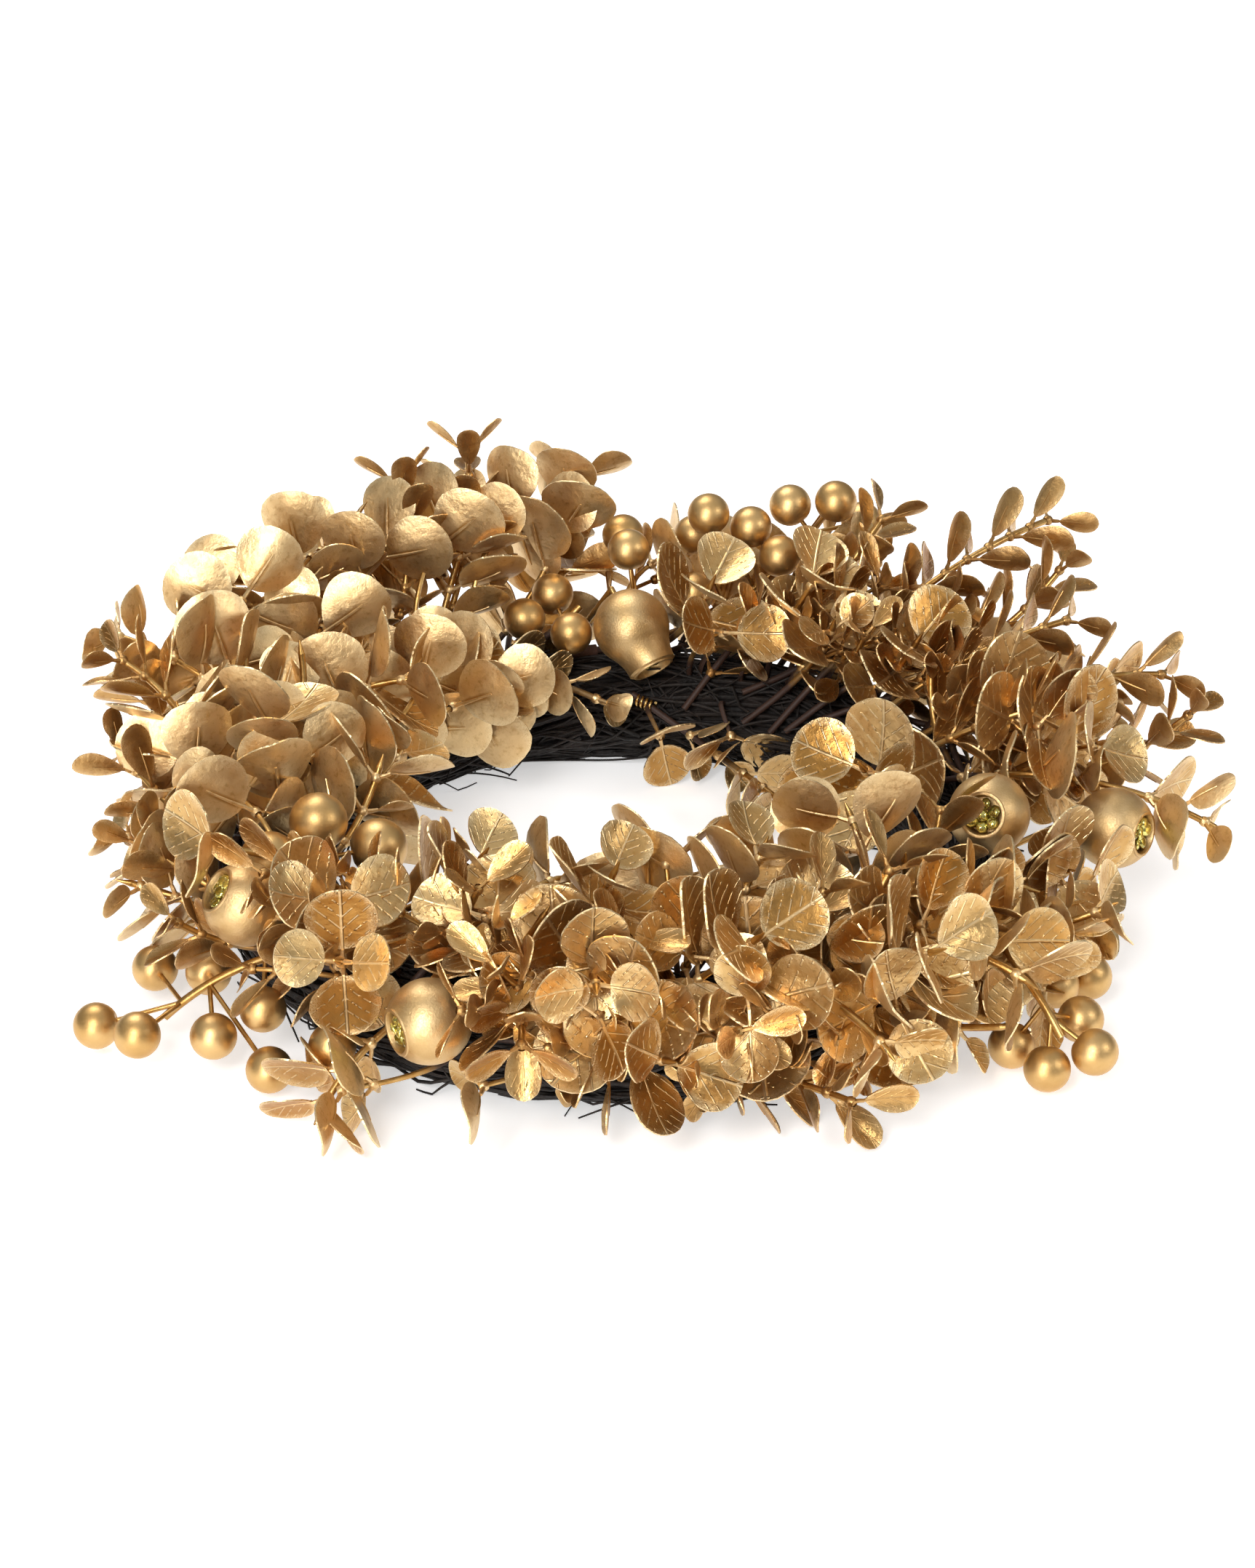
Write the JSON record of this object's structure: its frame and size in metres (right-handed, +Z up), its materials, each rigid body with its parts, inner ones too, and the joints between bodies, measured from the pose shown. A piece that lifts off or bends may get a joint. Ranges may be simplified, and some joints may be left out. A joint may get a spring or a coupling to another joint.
{
  "type": "candle ring",
  "caption": "Table wreath that stands round a pillar candle: a wound vine ring dressed with gilded leaf sprays, berry picks and jewelled baubles.",
  "frame": {"origin": "on the ring's axis, at table level", "axes": "+Z up along the ring's axis, +X to the right of the shown front, +Y to its back"},
  "size_m": [0.372, 0.3432, 0.1069],
  "materials": {
    "twig": "dark, rough bark",
    "gold_leaf": "satin gold paint",
    "gold_stem": "satin gold paint",
    "berry_gold": "pearly satin gold",
    "bauble_gold": "frosted champagne gold",
    "stone": "clear faceted, yellow-green",
    "bauble_wire": "gold paint",
    "tie_wire": "bright wire",
    "floral_tape": "waxed crepe paper"
  },
  "bodies": {
    "root": {"bauble_back": "bauble_gold", "bauble_far_right": "bauble_gold", "bauble_front_left": "bauble_gold", "bauble_left": "bauble_gold", "bauble_right": "bauble_gold", "bauble_wires": "bauble_wire", "berries_back_left": "berry_gold", "berries_back_right": "berry_gold", "berries_left_low": "berry_gold", "berries_left_top": "berry_gold", "berries_right_low": "berry_gold", "berry_stem_back_left": "gold_stem", "berry_stem_back_right": "gold_stem", "berry_stem_left_low": "gold_stem", "berry_stem_left_top": "gold_stem", "berry_stem_right_low": "gold_stem", "boxwood_leaves_back_left": "gold_leaf", "boxwood_leaves_front": "gold_leaf", "boxwood_leaves_front_left": "gold_leaf", "boxwood_leaves_left": "gold_leaf", "boxwood_leaves_right": "gold_leaf", "boxwood_leaves_right_back": "gold_leaf", "boxwood_stems_back_left": "gold_stem", "boxwood_stems_front": "gold_stem", "boxwood_stems_front_left": "gold_stem", "boxwood_stems_left": "gold_stem", "boxwood_stems_right": "gold_stem", "boxwood_stems_right_back": "gold_stem", "eucalyptus_leaves_back": "gold_leaf", "eucalyptus_leaves_back_right": "gold_leaf", "eucalyptus_leaves_centre": "gold_leaf", "eucalyptus_leaves_far_right": "gold_leaf", "eucalyptus_leaves_front": "gold_leaf", "eucalyptus_leaves_front_left": "gold_leaf", "eucalyptus_leaves_inner_left": "gold_leaf", "eucalyptus_leaves_left": "gold_leaf", "eucalyptus_leaves_left_back": "gold_leaf", "eucalyptus_leaves_right_front": "gold_leaf", "eucalyptus_leaves_right_low": "gold_leaf", "eucalyptus_stems_back": "gold_stem", "eucalyptus_stems_back_right": "gold_stem", "eucalyptus_stems_centre": "gold_stem", "eucalyptus_stems_far_right": "gold_stem", "eucalyptus_stems_front": "gold_stem", "eucalyptus_stems_front_left": "gold_stem", "eucalyptus_stems_inner_left": "gold_stem", "eucalyptus_stems_left": "gold_stem", "eucalyptus_stems_left_back": "gold_stem", "eucalyptus_stems_right_front": "gold_stem", "eucalyptus_stems_right_low": "gold_stem", "floral_tape": "floral_tape", "stones_back": "stone", "stones_far_right": "stone", "stones_front_left": "stone", "stones_left": "stone", "stones_right": "stone", "tie_wire": "tie_wire", "twig_core": "twig", "vine_winding": "twig"}
  },
  "joints": []
}
